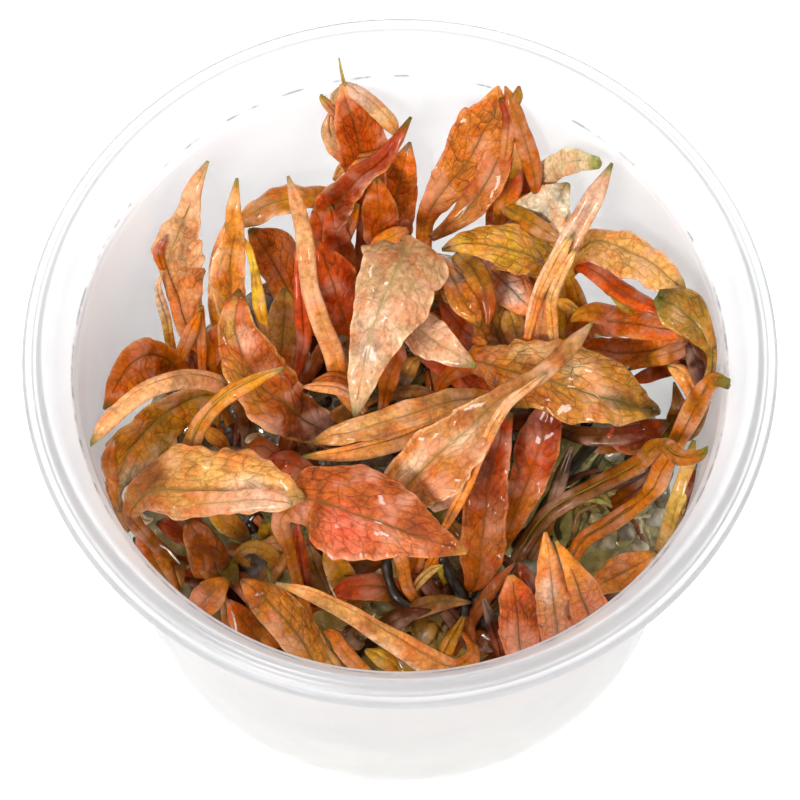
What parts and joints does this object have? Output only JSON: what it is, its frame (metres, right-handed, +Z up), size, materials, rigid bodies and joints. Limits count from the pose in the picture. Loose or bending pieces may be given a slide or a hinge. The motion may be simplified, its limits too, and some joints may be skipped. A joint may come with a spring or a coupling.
{
  "type": "tissue culture flamingo cryptocoryne wendtii",
  "caption": "Open clear plastic culture cup holding gel and crowded salmon, orange and brown water trumpet plantlets grown in vitro.",
  "frame": {"origin": "centre of the cup's foot ring, on the surface that it stands on", "axes": "+Z up along the cup's axis, -Y towards the viewer of the picture, +X to the viewer's right"},
  "size_m": [0.1, 0.1, 0.07],
  "materials": {
    "cup_plastic": "satin",
    "culture_gel": "gloss",
    "crown_tissue": "satin",
    "leaf_pink": "satin",
    "leaf_salmon": "satin",
    "leaf_orange": "satin",
    "leaf_red": "satin",
    "leaf_brown": "satin",
    "leaf_olive": "satin",
    "leaf_cream": "satin"
  },
  "bodies": {
    "root": {"cup": "cup_plastic", "culture_gel": "culture_gel", "crown_front": "crown_tissue", "crown_left": "crown_tissue", "crown_centre": "crown_tissue", "crown_back": "crown_tissue", "crown_back_right": "crown_tissue", "crown_right": "crown_tissue", "crown_front_right": "crown_tissue", "crown_front_left": "crown_tissue", "crown_lower_left": "crown_tissue", "leaf_rolled_tip": "leaf_orange", "leaf_salmon_front": "leaf_salmon", "leaf_pale_orange_left": "leaf_cream", "leaf_olive_left": "leaf_olive", "leaf_brown_left": "leaf_brown", "leaf_pink_arc_spike": "leaf_pink", "leaf_short_spike_left": "leaf_cream", "leaf_cupped_brown": "leaf_brown", "leaf_tall_spear": "leaf_cream", "leaf_veined_back_left": "leaf_orange", "leaf_arching_back_left": "leaf_orange", "leaf_long_pink_spike": "leaf_pink", "leaf_veined_centre_left": "leaf_salmon", "leaf_hooded_back": "leaf_salmon", "leaf_folded_spike_back": "leaf_red", "leaf_orange_flank_back": "leaf_red", "leaf_big_back_right": "leaf_salmon", "leaf_dark_fold_back_right": "leaf_brown", "leaf_pale_blunt_back_right": "leaf_pink", "leaf_pale_yellow": "leaf_cream", "leaf_forked_spike": "leaf_cream", "leaf_broad_right_back": "leaf_orange", "leaf_olive_blunt_right": "leaf_olive", "leaf_large_veined_right": "leaf_brown", "leaf_salmon_small": "leaf_salmon", "leaf_brown_centre": "leaf_brown", "leaf_folded_pair_centre": "leaf_orange", "leaf_olive_midrib_back": "leaf_olive", "leaf_glossy_patch": "leaf_salmon", "leaf_glossy_right_upper": "leaf_brown", "leaf_glossy_right_middle": "leaf_brown", "leaf_hooked_spike_right": "leaf_cream", "leaf_hooked_band_right": "leaf_cream", "leaf_pale_wall_right": "leaf_cream", "leaf_brown_under_veined": "leaf_brown", "leaf_vertical_brown": "leaf_brown", "leaf_red_orange_centre": "leaf_red", "leaf_folded_front_right": "leaf_orange", "leaf_red_front_right": "leaf_red", "leaf_brown_front_right": "leaf_brown", "leaf_orange_front_spike": "leaf_orange", "leaf_brown_front_left": "leaf_brown", "leaf_orange_front_left": "leaf_orange", "leaf_brown_lower_left": "leaf_brown", "leaf_orange_lower_left": "leaf_orange", "leaf_back_left_spear": "leaf_salmon", "leaf_narrow_left_pointing": "leaf_pink", "leaf_folded_left_pointing": "leaf_orange", "leaf_central_pale": "leaf_pink"}
  },
  "joints": []
}
